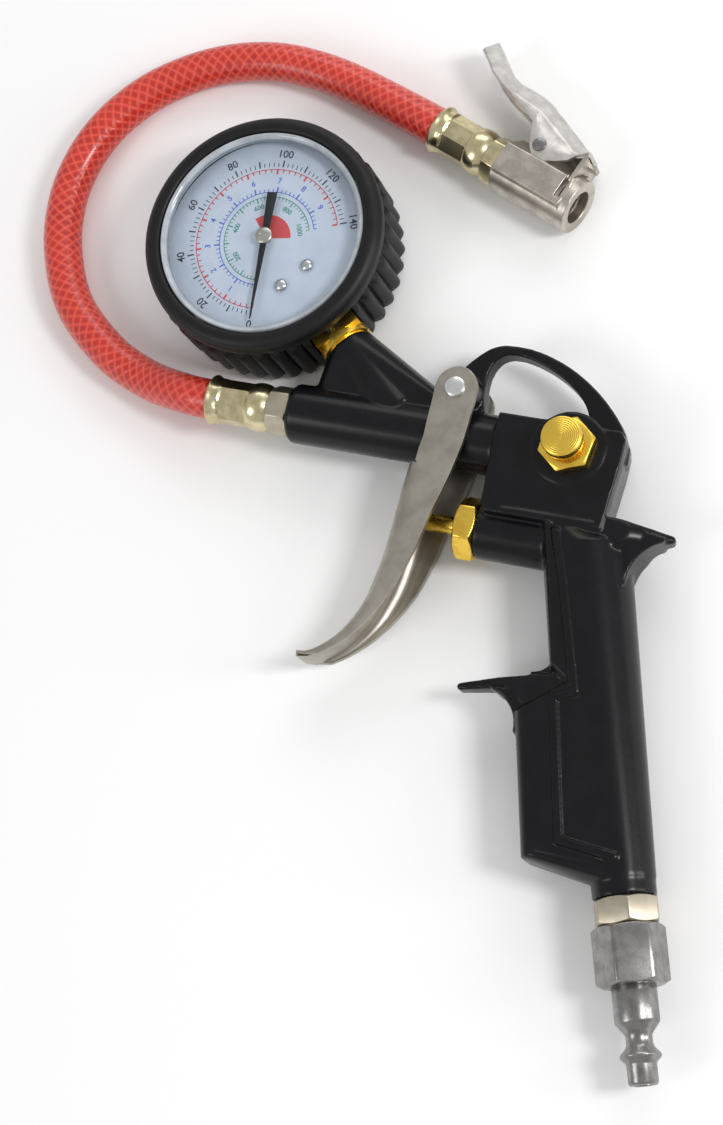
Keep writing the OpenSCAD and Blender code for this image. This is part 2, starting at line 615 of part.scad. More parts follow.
ear_z = 5.6;
module chuck_body() place() color("#a59c90") at_chuck() difference() {
  union() {
    translate([chuck_u0, 0, 0]) along_x() rotate([0, 0, 30]) hex_prism(chuck_af, 23.4);
    translate([chuck_u0 + 23, 0, 0]) along_x() cylinder(d = 16, h = 3, $fn = 64);
    at(chuck_pivot) slab(7.6) circle(r = 2.6, $fn = 32);
    slab(7.6) polygon([[chuck_pivot[0] - 2.6, chuck_pivot[1]], [chuck_pivot[0] + 2.6, chuck_pivot[1]], [35, 5], [28, 5]]);
  }
  translate([chuck_u0 - 1, 0, 0]) along_x() cylinder(d = 9.1, h = 8, $fn = 48);
  translate([chuck_u0, 0, 0]) along_x() cylinder(d = 4, h = 20, $fn = 32);
  // chamber of the seal, and the mouth that takes the tire valve
  translate([36, 0, 0]) along_x() cylinder(r = mouth_r - 0.25, h = 12, $fn = 64);
  translate([jaw_u + 1, 0, 0]) along_x() cylinder(r = mouth_r, h = 5, $fn = 64);
  // cross slot that guides the jaw
  translate([jaw_u - jaw_slot / 2, -2.2, -10]) cube([jaw_slot, 20, 20]);
  // room for the spring between the ears
  at(chuck_pivot, -2) cylinder(r = 3.6, h = 4, $fn = 32);
  at(chuck_pivot, -5) cylinder(d = 3.02, h = 10, $fn = 32);
}

module thumb_outline() polygon(concat(
  bezier([0.2, 30.2], [8, 25], [8, 23.4], [18, 22.4], 10),
  bezier([26, 22], [33, 20.4], [37, 16.6], [46.4, 13.6], 10),
  [[46.6, 12.6], [41, 13]],
  bezier([38, 14.6], [32, 18.6], [26, 20.4], [18, 21], 10),
  bezier([11, 21.4], [7, 22.4], [2, 26], [-1.6, 28.2], 10)));

module chuck_lever() place() color("#b0a8a0") at_chuck() difference() {
  union() {
    slab(13) thumb_outline();
    for (side = [-1, 1]) translate([0, 0, side * (ear_z + 0.25)]) slab(1.3)
      polygon(concat(arc(chuck_pivot, 2.3, 160, 320, 12), [[42, 13.4], [34, 18], [26, 21.2], [19, 21.8]]));
  }
  at(chuck_pivot, -10) cylinder(d = 3.1, h = 20, $fn = 32);
}

module chuck_pin() place() color("#8a8a88") at_chuck() at(chuck_pivot) {
  translate([0, 0, -ear_z - 1.5]) cylinder(d = 3, h = 2 * ear_z + 3, $fn = 32);
  for (side = [0, 180]) rotate([side, 0, 0]) translate([0, 0, ear_z + 1.05]) cylinder(d1 = 4.4, d2 = 3.2, h = 0.8, $fn = 32);
}

module chuck_jaw() place() color("#b8b4ac") at_chuck() {
  translate([jaw_u - jaw_t / 2, 3.95, -6]) cube([jaw_t, 8.35, 12]);
  translate([jaw_u - jaw_t / 2, 11, -2]) cube([3.4, 1.3, 4]);
}

module chuck_spring() place() color("#b8b8b8") at_chuck() at(chuck_pivot, -1.8) {
  rotate_extrude($fn = 32) for (i = [0:3]) translate([2.5, 0.4 + i * 0.9]) circle(d = 0.8, $fn = 16);
  ring(2.6, 2.4, 3.5);
}

module chuck_seal() place() color("#202022") at_chuck() translate([37, 0, 0]) along_x() ring(mouth_r - 0.3, 2.9, 5);

module chuck_core_pin() place() color("#c8a858") at_chuck() difference() {
  union() {
    translate([32.6, 0, 0]) along_x() cylinder(d = 3.9, h = 2, $fn = 32);
    translate([33, 0, 0]) along_x() cylinder(d = 1.8, h = 9.6, $fn = 32);
  }
  for (side = [-1, 1]) translate([31, side * 1.6 - 0.4, -3]) cube([4, 0.8, 6]);
}

// ---------------------------------------------------------------- parts

gun_body();
trigger_lever();
trigger_pin();
gland_nut();
valve_stem();
stem_seal();
valve_seat();
poppet_seal();
valve_spring();
bleed_nut();
bleed_button();
bleed_seal();
bleed_spring();
inlet_adapter();
quick_plug();
gauge_boot();
gauge_case();
gauge_lens();
dial_plate();
dial_screws();
pointer();
pointer_hub();
pinion_shaft();
sector_gear();
movement_link();
movement_plates();
movement_pillars();
hair_spring();
bourdon_tube();
gauge_socket();
gun_hose_fitting();
gun_ferrule();
hose();
chuck_ferrule();
chuck_hose_fitting();
chuck_body();
chuck_lever();
chuck_pin();
chuck_jaw();
chuck_spring();
chuck_seal();
chuck_core_pin();
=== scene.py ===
"""Looks of a hand-held air-line tire inflator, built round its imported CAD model."""

import json
import math

import bmesh
import bpy
import numpy as np
from mathutils import Matrix, Vector


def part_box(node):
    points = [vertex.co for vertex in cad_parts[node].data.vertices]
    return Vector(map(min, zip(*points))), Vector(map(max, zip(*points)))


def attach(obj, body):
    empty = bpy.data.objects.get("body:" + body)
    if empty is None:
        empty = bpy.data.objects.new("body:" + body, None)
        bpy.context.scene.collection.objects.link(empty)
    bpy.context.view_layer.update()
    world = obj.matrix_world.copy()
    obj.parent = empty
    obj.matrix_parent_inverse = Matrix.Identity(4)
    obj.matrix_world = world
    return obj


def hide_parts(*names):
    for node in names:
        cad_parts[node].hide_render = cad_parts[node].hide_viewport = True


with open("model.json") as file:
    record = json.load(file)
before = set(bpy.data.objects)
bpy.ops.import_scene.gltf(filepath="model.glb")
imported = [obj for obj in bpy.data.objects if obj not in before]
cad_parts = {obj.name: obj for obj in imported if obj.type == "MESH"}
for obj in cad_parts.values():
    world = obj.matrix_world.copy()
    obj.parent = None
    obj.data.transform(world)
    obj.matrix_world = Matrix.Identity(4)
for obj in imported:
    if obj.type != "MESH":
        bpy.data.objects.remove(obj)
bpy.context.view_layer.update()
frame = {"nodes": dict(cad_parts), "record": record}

MM = 0.001


# ---------------------------------------------------------------- places
# Pieces are drawn in millimetres in the part's drawing frame: X along the barrel from its front face
# to the rear, Y up the side view, Z out of the gauge's dial. The trigger pin ties it to the row frame.

def turn(degrees, axis="Z"):
    return Matrix.Rotation(math.radians(degrees), 4, axis)


def shift(x, y, z=0):
    return Matrix.Translation((x, y, z))


pivot = Vector((48.3, 11.9, 0))
pin_low, pin_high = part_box("trigger_pin")
DRAWING = Matrix.Translation((pin_low + pin_high) / 2 - pivot * MM) @ Matrix.Scale(MM, 4)

stem_angle = 41
boss_end = Vector((11.2, 21.45, 0))
stem_way = Vector((-math.cos(math.radians(stem_angle)), math.sin(math.radians(stem_angle)), 0))
gauge_centre = boss_end + 39.1 * stem_way
grip_rake = 19
ALONG_X = turn(90, "Y")
GAUGE = DRAWING @ Matrix.Translation(gauge_centre) @ turn(-stem_angle)
INLET = DRAWING @ shift(124, -114) @ turn(grip_rake) @ turn(90, "X")
VALVE = DRAWING @ shift(62, -24.3) @ ALONG_X
BLEEDER = DRAWING @ shift(83.6, 0.3)
CHUCK = DRAWING @ shift(20, 91.7, -3.9) @ turn(-21.7)
GUN_HOSE_END = DRAWING @ shift(-24.95, 0) @ ALONG_X
CHUCK_HOSE_END = CHUCK @ ALONG_X


# ---------------------------------------------------------------- camera

camera_right = Vector((0.92853, 0.24380, -0.28))
camera_up = Vector((-0.17040, 0.94990, 0.262))
camera_back = camera_right.cross(camera_up)
camera_spot = DRAWING @ Vector((272.82, -182.49, 677.61))
lens_data = bpy.data.cameras.new("product_camera")
lens_data.sensor_fit = "VERTICAL"
lens_data.sensor_height = 36
lens_data.lens = 85
lens_data.clip_start, lens_data.clip_end = 0.05, 20
camera = bpy.data.objects.new("product_camera", lens_data)
axes = Matrix((camera_right, camera_up, camera_back)).transposed().to_4x4()
camera.matrix_world = Matrix.Translation(camera_spot) @ axes
bpy.context.scene.collection.objects.link(camera)
bpy.context.scene.camera = camera


# ---------------------------------------------------------------- finishes

class Socket:
    """An output of a shader node. Arithmetic on it adds Math nodes."""

    def __init__(self, finish, output):
        self.finish, self.output = finish, output

    def math(self, operation, *values):
        return self.finish.node("Math", {"operation": operation}, dict(enumerate(values)))

    def __add__(self, other):
        return self.math("ADD", self, other)

    def __mul__(self, other):
        return self.math("MULTIPLY", self, other)

    def __pow__(self, other):
        return self.math("POWER", self, other)

    __radd__ = __add__
    __rmul__ = __mul__

    def sine(self):
        return self.math("SINE", self)

    def or_higher(self, other):
        return self.math("MAXIMUM", self, other)

    def step(self, low, high):
        """0 below low, 1 above high, and smooth between."""
        return self.finish.node("MapRange", {"interpolation_type": "SMOOTHSTEP"}, {0: self, 1: low, 2: high})


class Finish:
    """A node material built on one Principled shader, whose own sockets take the constants."""

    def __init__(self, name, **constants):
        self.material = bpy.data.materials.new(name)
        self.material.use_nodes = True
        self.tree = self.material.node_tree
        self.tree.nodes.clear()
        self.shader = self.tree.nodes.new("ShaderNodeBsdfPrincipled")
        self.out = self.tree.nodes.new("ShaderNodeOutputMaterial")
        self.tree.links.new(self.shader.outputs[0], self.out.inputs[0])
        for key, value in constants.items():
            self.shader.inputs[key.replace("_", " ")].default_value = value
        self.place = self.node("TexCoord", output="Object")

    def node(self, kind, settings=None, inputs=None, output=0):
        made = self.tree.nodes.new("ShaderNode" + kind)
        for key, value in (settings or {}).items():
            setattr(made, key, value)
        for key, value in (inputs or {}).items():
            if isinstance(value, Socket):
                self.tree.links.new(value.output, made.inputs[key])
            else:
                made.inputs[key].default_value = value
        return Socket(self, made.outputs[output])

    def drive(self, **inputs):
        for key, value in inputs.items():
            self.tree.links.new(value.output, self.shader.inputs[key.replace("_", " ")])
        return self

    def grain(self, size, detail=3, rough=0.55):
        """Cloudy values from 0 to 1, with clouds about `size` millimetres across."""
        return self.node("TexNoise", {}, {"Vector": self.place, "Scale": 1 / (size * MM), "Detail": detail,
                                          "Roughness": rough})

    def mix(self, share, one, other):
        return self.node("Mix", {"data_type": "RGBA"}, {0: share, 6: one, 7: other}, output=2)

    def bump(self, height, depth):
        """Normals of a height from 0 to 1 that stands `depth` millimetres proud."""
        return self.node("Bump", {}, {"Height": height, "Distance": depth * MM, "Strength": 1.0})

    def axis_place(self, matrix):
        """Coordinates in millimetres in the frame that `matrix` places."""
        back = matrix.inverted()
        sockets = {"Vector": self.place, "Location": back.to_translation(), "Rotation": back.to_euler(),
                   "Scale": back.to_scale()}
        return self.node("Mapping", {"vector_type": "POINT"}, sockets)

    def parts(self, vector):
        split = self.node("SeparateXYZ", {}, {0: vector})
        return [Socket(self, split.output.node.outputs[k]) for k in range(3)]


def rgb(r, g, b):
    return (r, g, b, 1)


def paint(name, colour, tint, rough, spread, depth=0.02, size=1.0, **constants):
    """A painted, moulded or rubber surface: cloudy colour, uneven gloss and a fine skin."""
    f = Finish(name, **constants)
    cloud = f.grain(size * 6)
    fine = f.grain(size, 4)
    f.drive(Base_Color=f.mix(cloud.step(0.35, 0.7), colour, tint),
            Roughness=fine * spread + (rough - spread / 2), Normal=f.bump(fine, depth))
    return f


def metal(name, colour, tint, rough, spread, size=2.0, depth=0.012):
    """Bare or plated metal: patchy tone, uneven polish and fine working marks."""
    f = Finish(name, Metallic=1.0)
    patches = f.grain(size * 2.5, 5, 0.6)
    marks = f.grain(size * 0.25, 4, 0.6)
    f.drive(Base_Color=f.mix(patches.step(0.36, 0.66), colour, tint),
            Roughness=patches * spread + marks * spread + (rough - spread), Normal=f.bump(marks, depth))
    return f


finishes = {
    "body_gloss": paint("gloss_black_paint", rgb(0.0034, 0.0036, 0.0046), rgb(0.0050, 0.0052, 0.0066),
                        0.27, 0.08, depth=0.006, size=1.1, Coat_Weight=0.06, Coat_Roughness=0.16,
                        Specular_IOR_Level=0.22),
    "trigger_steel": metal("tumbled_steel", rgb(0.45, 0.42, 0.37), rgb(0.35, 0.325, 0.28), 0.42, 0.14,
                           size=3.0),
    "rivet_steel": metal("bright_steel", rgb(0.80, 0.80, 0.80), rgb(0.70, 0.70, 0.71), 0.26, 0.10, size=0.8),
    "yellow_brass": metal("yellow_brass", rgb(0.93, 0.64, 0.10), rgb(0.84, 0.53, 0.07), 0.27, 0.08, size=1.2),
    "nickel_brass": metal("pale_plated_brass", rgb(0.54, 0.49, 0.39), rgb(0.46, 0.41, 0.32), 0.38, 0.10,
                          size=1.6),
    "plug_steel": metal("turned_steel", rgb(0.32, 0.31, 0.30), rgb(0.22, 0.215, 0.21), 0.28, 0.12, size=1.4),
    "boot_rubber": paint("black_rubber", rgb(0.0042, 0.0042, 0.0050), rgb(0.0066, 0.0066, 0.0076), 0.46, 0.14,
                         depth=0.02, size=0.7, Specular_IOR_Level=0.3),
    "seal_rubber": paint("seal_rubber", rgb(0.012, 0.012, 0.012), rgb(0.018, 0.018, 0.018), 0.5, 0.1),
    "case_black": paint("satin_black_case", rgb(0.012, 0.012, 0.013), rgb(0.018, 0.018, 0.02), 0.4, 0.1),
    "dial_face": paint("bluish_white_dial", rgb(0.66, 0.715, 0.80), rgb(0.60, 0.655, 0.74), 0.5, 0.08,
                       depth=0.004, size=1.4),
    "pointer_black": paint("pointer_black", rgb(0.010, 0.011, 0.012), rgb(0.014, 0.015, 0.016), 0.42, 0.08,
                           depth=0.004),
    "hub_metal": metal("pale_hub_metal", rgb(0.70, 0.66, 0.56), rgb(0.58, 0.55, 0.47), 0.33, 0.1, size=0.7),
    "movement_brass": metal("stamped_brass", rgb(0.80, 0.60, 0.28), rgb(0.70, 0.52, 0.23), 0.35, 0.1),
    "bronze_tube": metal("phosphor_bronze", rgb(0.70, 0.46, 0.24), rgb(0.62, 0.40, 0.20), 0.35, 0.1),
    "spring_steel": metal("spring_wire", rgb(0.55, 0.55, 0.55), rgb(0.46, 0.46, 0.46), 0.35, 0.1),
    "ferrule_brass": metal("crimped_brass", rgb(0.74, 0.66, 0.42), rgb(0.56, 0.49, 0.28), 0.24, 0.10,
                           size=1.2),
    "chuck_zinc": metal("worn_nickel_plate", rgb(0.60, 0.55, 0.49), rgb(0.44, 0.40, 0.355), 0.37, 0.16,
                        size=1.5, depth=0.03),
}


def clear_lens():
    """Clear moulding: straight through where it is met square on, mirror-like at a slant."""
    f = Finish("clear_lens", Roughness=0.06, Base_Color=rgb(0.03, 0.03, 0.035))
    faint = f.grain(3.0)
    through = f.node("BsdfTransparent", {}, {0: rgb(0.97, 0.985, 1.0)})
    slant = f.node("LayerWeight", {}, {"Blend": 0.5}, output=1)
    shade = f.node("MixShader", {}, {0: slant ** 5 * 0.9 + faint * 0.02 + 0.03, 1: through,
                                     2: Socket(f, f.shader.outputs[0])})
    f.drive(Normal=f.bump(faint, 0.01))
    f.tree.links.new(shade.output, f.out.inputs[0])
    return f


finishes["lens_clear"] = clear_lens()


def braided_hose():
    """Glossy clear red skin over crossed yarns. U runs round the hose and V along it in millimetres."""
    yarn_pitch, yarns_round = 3.3, 9
    f = Finish("braided_red_hose", Coat_Weight=0.35, Coat_Roughness=0.14)
    across, along, _ = f.parts(f.node("UVMap", {"uv_map": "hose_uv"}))
    wobble = f.grain(5.0) * 0.9
    yarns = []
    for hand in (-1, 1):
        phase = along * (2 * math.pi / yarn_pitch) + across * (hand * 2 * math.pi * yarns_round) + wobble
        yarns.append(phase.sine() * 0.5 + 0.5)
    left, right = yarns
    weave = (left ** 3).or_higher(right ** 3)
    knots = (left * right).step(0.55, 0.95)
    cloud = f.grain(7.0)
    fine = f.grain(0.8, 4)
    deep = f.mix(cloud.step(0.3, 0.7), rgb(0.44, 0.014, 0.008), rgb(0.54, 0.022, 0.012))
    strand = f.mix(fine, rgb(0.76, 0.065, 0.038), rgb(0.84, 0.11, 0.07))
    colour = f.mix(weave * 0.75 + knots * 0.25, deep, strand)
    f.drive(Base_Color=colour, Roughness=fine * 0.14 + 0.28, Normal=f.bump(weave * 0.7 + fine * 0.3, 0.16))
    return f


finishes["hose_red"] = braided_hose()


def faced_brass():
    """Brass faced on a lathe: fine rings about the bleeder's axis."""
    ring_pitch = 0.55
    f = Finish("faced_brass", Metallic=1.0, Anisotropic=0.5)
    x, y, _ = f.parts(f.axis_place(BLEEDER))
    out = (x * x + y * y) ** 0.5
    rings = (out * (2 * math.pi / ring_pitch) + f.grain(2.0) * 1.5).sine() * 0.5 + 0.5
    patches = f.grain(1.2, 4)
    f.drive(Base_Color=f.mix(rings * 0.7, rgb(0.95, 0.66, 0.11), rgb(0.80, 0.50, 0.06)),
            Roughness=rings * 0.10 + patches * 0.08 + 0.18, Normal=f.bump(rings, 0.05))
    return f


def print_ink(name, colour):
    """Printing ink, a little thin in places, so that a quarter of the dial's tone comes through."""
    dial_tone = 0.66
    f = Finish(name)
    fine = f.grain(0.6)
    lighter = rgb(*(0.75 * c + 0.25 * dial_tone for c in colour[:3]))
    f.drive(Base_Color=f.mix(fine * 0.5, colour, lighter), Roughness=fine * 0.1 + 0.4)
    return f


inks = {
    "black": print_ink("ink_black", rgb(0.03, 0.04, 0.07)),
    "red": print_ink("ink_red", rgb(0.72, 0.06, 0.06)),
    "blue": print_ink("ink_blue", rgb(0.08, 0.17, 0.66)),
    "green": print_ink("ink_green", rgb(0.05, 0.33, 0.24)),
}

# The clear rim is painted an opaque pale grey under a glossy coat. The grey is painted sheen that stands in
# for the light seen through and off a clear moulding.
lens_rim_painted_sheen = paint("clear_rim_painted_grey_sheen", rgb(0.46, 0.49, 0.53), rgb(0.34, 0.365, 0.40), 0.18, 0.06,
                        depth=0.01, Coat_Weight=0.6, Coat_Roughness=0.06)

node_slots = {row["node"]: row["material_slot"] for row in frame["record"]["subparts"]}
for node_name, cad in frame["nodes"].items():
    cad.data.materials.clear()
    cad.data.materials.append(finishes[node_slots[node_name]].material)


# ---------------------------------------------------------------- making pieces

def smooth_under(mesh, degrees):
    mesh.shade_smooth()
    mesh.set_sharp_from_angle(angle=math.radians(degrees))


def settle(obj):
    """Puts what the modifiers make into the mesh itself."""
    bpy.context.view_layer.update()
    seen = obj.evaluated_get(bpy.context.evaluated_depsgraph_get())
    made = bpy.data.meshes.new_from_object(seen)
    obj.modifiers.clear()
    obj.data = made
    return obj


def bare_object(name, points, faces, place):
    """An object of the given points and faces, with doubled points joined and its faces turned outwards."""
    mesh = bpy.data.meshes.new(name)
    mesh.from_pydata([place @ Vector(p) for p in points], [], faces)
    shape = bmesh.new()
    shape.from_mesh(mesh)
    bmesh.ops.remove_doubles(shape, verts=shape.verts, dist=0.002 * MM)
    bmesh.ops.recalc_face_normals(shape, faces=shape.faces)
    shape.to_mesh(mesh)
    shape.free()
    obj = bpy.data.objects.new(name, mesh)
    bpy.context.scene.collection.objects.link(obj)
    return obj


def soften(obj, width, angle=38):
    """Rounds the edges sharper than the angle."""
    bevel = obj.modifiers.new("soft_edges", "BEVEL")
    bevel.width, bevel.segments = width * MM, 2
    bevel.limit_method, bevel.angle_limit = "ANGLE", math.radians(angle)
    return settle(obj)


def fit_out(obj, body, slot, finish=None, replaces=(), smooth=36):
    """Gives a piece its finish (the slot's own unless another is given) and its body, and hides the CAD nodes
    that it stands for.
    """
    obj.data.materials.clear()
    obj.data.materials.append((finish or finishes[slot]).material)
    smooth_under(obj.data, smooth)
    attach(obj, body)
    if replaces:
        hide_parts(*replaces)
    return obj


def piece(name, shape, place, body, slot, edge=0.15, finish=None, replaces=(), smooth=36):
    obj = bare_object(name, *shape, place)
    if edge:
        soften(obj, edge)
    return fit_out(obj, body, slot, finish, replaces, smooth)


def joined(*shapes):
    points, faces = [], []
    for more, loops in shapes:
        faces += [[i + len(points) for i in loop] for loop in loops]
        points += more
    return points, faces


def moved(shape, matrix):
    return [tuple(matrix @ Vector(p)) for p in shape[0]], shape[1]


def turned(profile, steps=96, radius=None, closed=False):
    """A profile of (radius, height) pairs turned round Z. `radius` changes a radius by height and angle."""
    points, rings = [], []
    for r, z in profile:
        start = len(points)
        if r == 0:
            points.append((0, 0, z))
            rings.append([start] * steps)
            continue
        for k in range(steps):
            a = 2 * math.pi * k / steps
            q = radius(r, z, a) if radius else r
            points.append((q * math.cos(a), q * math.sin(a), z))
        rings.append(list(range(start, start + steps)))
    if closed:
        rings.append(rings[0])
    faces = []
    for low, high in zip(rings, rings[1:]):
        for k in range(steps):
            m = (k + 1) % steps
            loop = [low[k], low[m], high[m], high[k]]
            loop = [v for i, v in enumerate(loop) if v != loop[i - 1]]
            if len(loop) > 2:
                faces.append(loop)
    return points, faces


def hexagonal(flats, low, high, bore, phase=30, chamfers=(1, 1)):
    """A nut with its corners turned away at the ends that `chamfers` marks. A flat's middle is at `phase`."""
    half = flats / 2
    off_middle = (-29, -26, -18, -9, 0, 9, 18, 26, 29)
    angles = [60 * k + phase + d for k in range(6) for d in off_middle]
    points, rows = [], []
    cone = 1.73

    def ring(radius_at, height_at):
        rows.append(range(len(points), len(points) + len(angles)))
        for a in angles:
            d = math.radians((a - phase + 30) % 60 - 30)
            corner = half / math.cos(d)
            r, z = radius_at(corner), height_at(corner)
            points.append((r * math.cos(math.radians(a)), r * math.sin(math.radians(a)), z))

    face_r = half * 0.975
    under, over = chamfers
    ring(lambda c: bore, lambda c: low)
    ring(lambda c: face_r if under else c, lambda c: low)
    ring(lambda c: c, lambda c: low + under * (c - face_r) / cone)
    ring(lambda c: c, lambda c: high - over * (c - face_r) / cone)
    ring(lambda c: face_r if over else c, lambda c: high)
    ring(lambda c: bore, lambda c: high)
    rows.append(rows[0])
    n = len(angles)
    faces = [[a[k], a[(k + 1) % n], b[(k + 1) % n], b[k]] for a, b in zip(rows, rows[1:]) for k in range(n)]
    return points, faces


def slab(outline, low, high):
    """A flat outline of (x, y) points given thickness from low to high."""
    n = len(outline)
    points = [(x, y, low) for x, y in outline] + [(x, y, high) for x, y in outline]
    sides = [[k, (k + 1) % n, n + (k + 1) % n, n + k] for k in range(n)]
    return points, [list(range(n))[::-1], list(range(n, 2 * n)), *sides]


def block(x0, x1, y0, y1, z0, z1):
    return slab([(x0, y0), (x1, y0), (x1, y1), (x0, y1)], z0, z1)


def bezier(a, b, c, d, n):
    a, b, c, d = (Vector(p) for p in (a, b, c, d))
    return [(1 - t) ** 3 * a + 3 * t * (1 - t) ** 2 * b + 3 * t * t * (1 - t) * c + t ** 3 * d
            for t in (i / n for i in range(n + 1))]


def resample(points, spacing):
    """Points evenly spaced along one smooth curve through the given points."""
    p = np.array(points, float)
    p = np.vstack([2 * p[0] - p[1], p, 2 * p[-1] - p[-2]])
    fine = []
    for i in range(1, len(p) - 2):
        for t in np.linspace(0, 1, 24, endpoint=False):
            fine.append(0.5 * (2 * p[i] + (p[i + 1] - p[i - 1]) * t
                               + (2 * p[i - 1] - 5 * p[i] + 4 * p[i + 1] - p[i + 2]) * t * t
                               + (3 * p[i] - p[i - 1] - 3 * p[i + 1] + p[i + 2]) * t ** 3))
    fine = np.array(fine + [p[-2]])
    run = np.concatenate([[0], np.cumsum(np.linalg.norm(np.diff(fine, axis=0), axis=1))])
    marks = np.linspace(0, run[-1], int(run[-1] / spacing) + 1)
    return np.stack([np.interp(marks, run, fine[:, k]) for k in range(3)], 1), run[-1]


# ---------------------------------------------------------------- hose

hose_diameter = 11.5
rest_z = -6.15
hose_route = [
    (-25, 0, 0), (-31, 0.3, -0.4), (-37, 1.3, -1.8), (-43, 2.6, -3.8), (-49, 4.3, -5.4), (-55, 6.5, -6.1),
    (-61, 9.2, rest_z), (-67, 13, rest_z), (-73, 17.6, rest_z), (-78.6, 23, rest_z), (-83, 29.4, rest_z),
    (-86.4, 36.4, rest_z), (-89, 43.6, rest_z), (-90.4, 51, rest_z), (-90.8, 58.6, rest_z),
    (-89.8, 66.4, rest_z), (-87.6, 73.8, rest_z), (-84, 81, rest_z), (-79.2, 87.4, rest_z),
    (-73.4, 93.2, rest_z), (-66.6, 98, rest_z), (-59.2, 102, rest_z), (-51, 105, rest_z),
    (-42.6, 106.8, rest_z), (-34, 107.4, rest_z), (-25.4, 106.6, rest_z), (-17, 105, rest_z),
    (-8.6, 102.6, -6), (0, 99.5, -5.4), (8, 96.4, -4.6), (14, 94.1, -4.1), (20, 91.7, -3.9)]
hose_line, hose_length = resample(hose_route, 1.2)


def tube(line, radius, sides):
    """A ring of points about each point of a line, and the faces between the rings."""
    n = len(line)
    ways = np.gradient(line, axis=0)
    ways /= np.linalg.norm(ways, axis=1)[:, None]
    points = []
    for centre, way in zip(line, ways):
        side = np.cross(way, (0, 0, 1.0))
        side /= np.linalg.norm(side)
        up = np.cross(side, way)
        for k in range(sides):
            a = 2 * math.pi * k / sides
            points.append(centre + radius * (math.cos(a) * side + math.sin(a) * up))
    faces = []
    for i in range(n - 1):
        for k in range(sides):
            a, b = i * sides + k, i * sides + (k + 1) % sides
            faces.append([a, b, b + sides, a + sides])
    return points, faces


hose_sides = 40
hose_points, hose_faces = tube(hose_line, hose_diameter / 2, hose_sides)
hose_mesh = bpy.data.meshes.new("air_hose")
hose_corners = list(range(len(hose_points)))
caps = [hose_corners[:hose_sides][::-1], hose_corners[-hose_sides:]]
hose_mesh.from_pydata([DRAWING @ Vector(p) for p in hose_points], [], hose_faces + caps)
uv = hose_mesh.uv_layers.new(name="hose_uv")
spacing = hose_length / (len(hose_line) - 1)
corner = 0
for i in range(len(hose_line) - 1):
    for k in range(hose_sides):
        for du, dv in ((0, 0), (1, 0), (1, 1), (0, 1)):
            uv.data[corner].uv = ((k + du) / hose_sides, (i + dv) * spacing)
            corner += 1
air_hose = bpy.data.objects.new("air_hose", hose_mesh)
bpy.context.scene.collection.objects.link(air_hose)
fit_out(air_hose, "gun", "hose_red", replaces=["hose"])


# ---------------------------------------------------------------- cast body

def remeshed(name, node, voxel, rounds):
    """The CAD node's solid as one even mesh with its edges eased, for a casting."""
    mesh = frame["nodes"][node].data.copy()
    obj = bpy.data.objects.new(name, mesh)
    bpy.context.scene.collection.objects.link(obj)
    for kept in [a.name for a in mesh.attributes if a.name.startswith(("custom_normal", "sharp"))]:
        mesh.attributes.remove(mesh.attributes[kept])
    grid = obj.modifiers.new("grid", "REMESH")
    grid.mode, grid.voxel_size = "VOXEL", voxel * MM
    ease = obj.modifiers.new("ease", "SMOOTH")
    ease.factor, ease.iterations = 0.5, rounds
    return settle(obj)


def smoothstep(x, low, high):
    t = np.clip((x - low) / (high - low), 0, 1)
    return t * t * (3 - 2 * t)


def to_line(x, y, line):
    """Distance of each point from a bent line in the side view."""
    near = np.full(len(x), 1e9)
    for (ax, ay), (bx, by) in zip(line, line[1:]):
        rx, ry = bx - ax, by - ay
        t = np.clip(((x - ax) * rx + (y - ay) * ry) / (rx * rx + ry * ry), 0, 1)
        near = np.minimum(near, np.hypot(x - ax - t * rx, y - ay - t * ry))
    return near


def reshape(obj, place, change):
    """Passes the points' coordinates in the frame `place` through `change`."""
    points = np.empty(len(obj.data.vertices) * 3)
    obj.data.vertices.foreach_get("co", points)
    inwards, outwards = np.array(place.inverted()), np.array(place)
    points = points.reshape(-1, 3) @ inwards[:3, :3].T + inwards[:3, 3]
    points = change(points)
    obj.data.vertices.foreach_set("co", (points @ outwards[:3, :3].T + outwards[:3, 3]).ravel())
    obj.data.update()


def carved_grip(x, y, z):
    """Lets flat panels into the grip, between their raised frame and the round rear tube."""
    grip_top, grip_foot = np.array((92.6, -25.0)), np.array((122.96, -110.97))
    frame_line = [(85.3, -22.6), (90.4, -35.6), (100.4, -64.8), (95.2, -67.2), (105.3, -103.8),
                  (120.5, -105.0)]
    high = np.abs(z)
    run = grip_foot - grip_top
    share = np.clip(((x - grip_top[0]) * run[0] + (y - grip_top[1]) * run[1]) / (run @ run), 0, 1)
    tube_radius = 12 - 3.3 * share
    out = ((x - grip_top[0]) * run[1] - (y - grip_top[1]) * run[0]) / np.linalg.norm(run)
    tube_high = np.sqrt(np.maximum(tube_radius ** 2 - out ** 2, 0))
    land = 9.45 - 0.9 * share
    blended = np.maximum(land, tube_high) + 0.35 * np.exp(-((land - tube_high) / 0.9) ** 2)
    panel = (y < -21.4) & (y > -108) & (high > 7.6) & (x < 124)
    step_in = smoothstep(y, -109, -106.5) * smoothstep(-y, 21.4, 23.2)
    raised = 0.8 * smoothstep(-to_line(x, y, frame_line), -1.5, -0.85)
    carved = high + panel * step_in * (np.minimum(high, blended) - high) + panel * raised * step_in
    return np.sign(z) * np.where(panel, carved, high)


def finished_casting(points):
    """Carves the grip, then draws the block's rear in towards the far side."""
    x, y, z = points.T
    z = carved_grip(x, y, z)
    drawn_in = smoothstep(x, 91, 98) * smoothstep(y, -25, -20) * smoothstep(-y, -12, -5)
    return np.stack([x - drawn_in * 0.13 * np.clip(6 - z, 0, 16), y, z], 1)


body = remeshed("gun_casting", "gun_body", 0.42, 9)
reshape(body, DRAWING, finished_casting)
ease = body.modifiers.new("ease", "SMOOTH")
ease.factor, ease.iterations = 0.4, 2
settle(body)
fit_out(body, "gun", "body_gloss", replaces=["gun_body"], smooth=180)


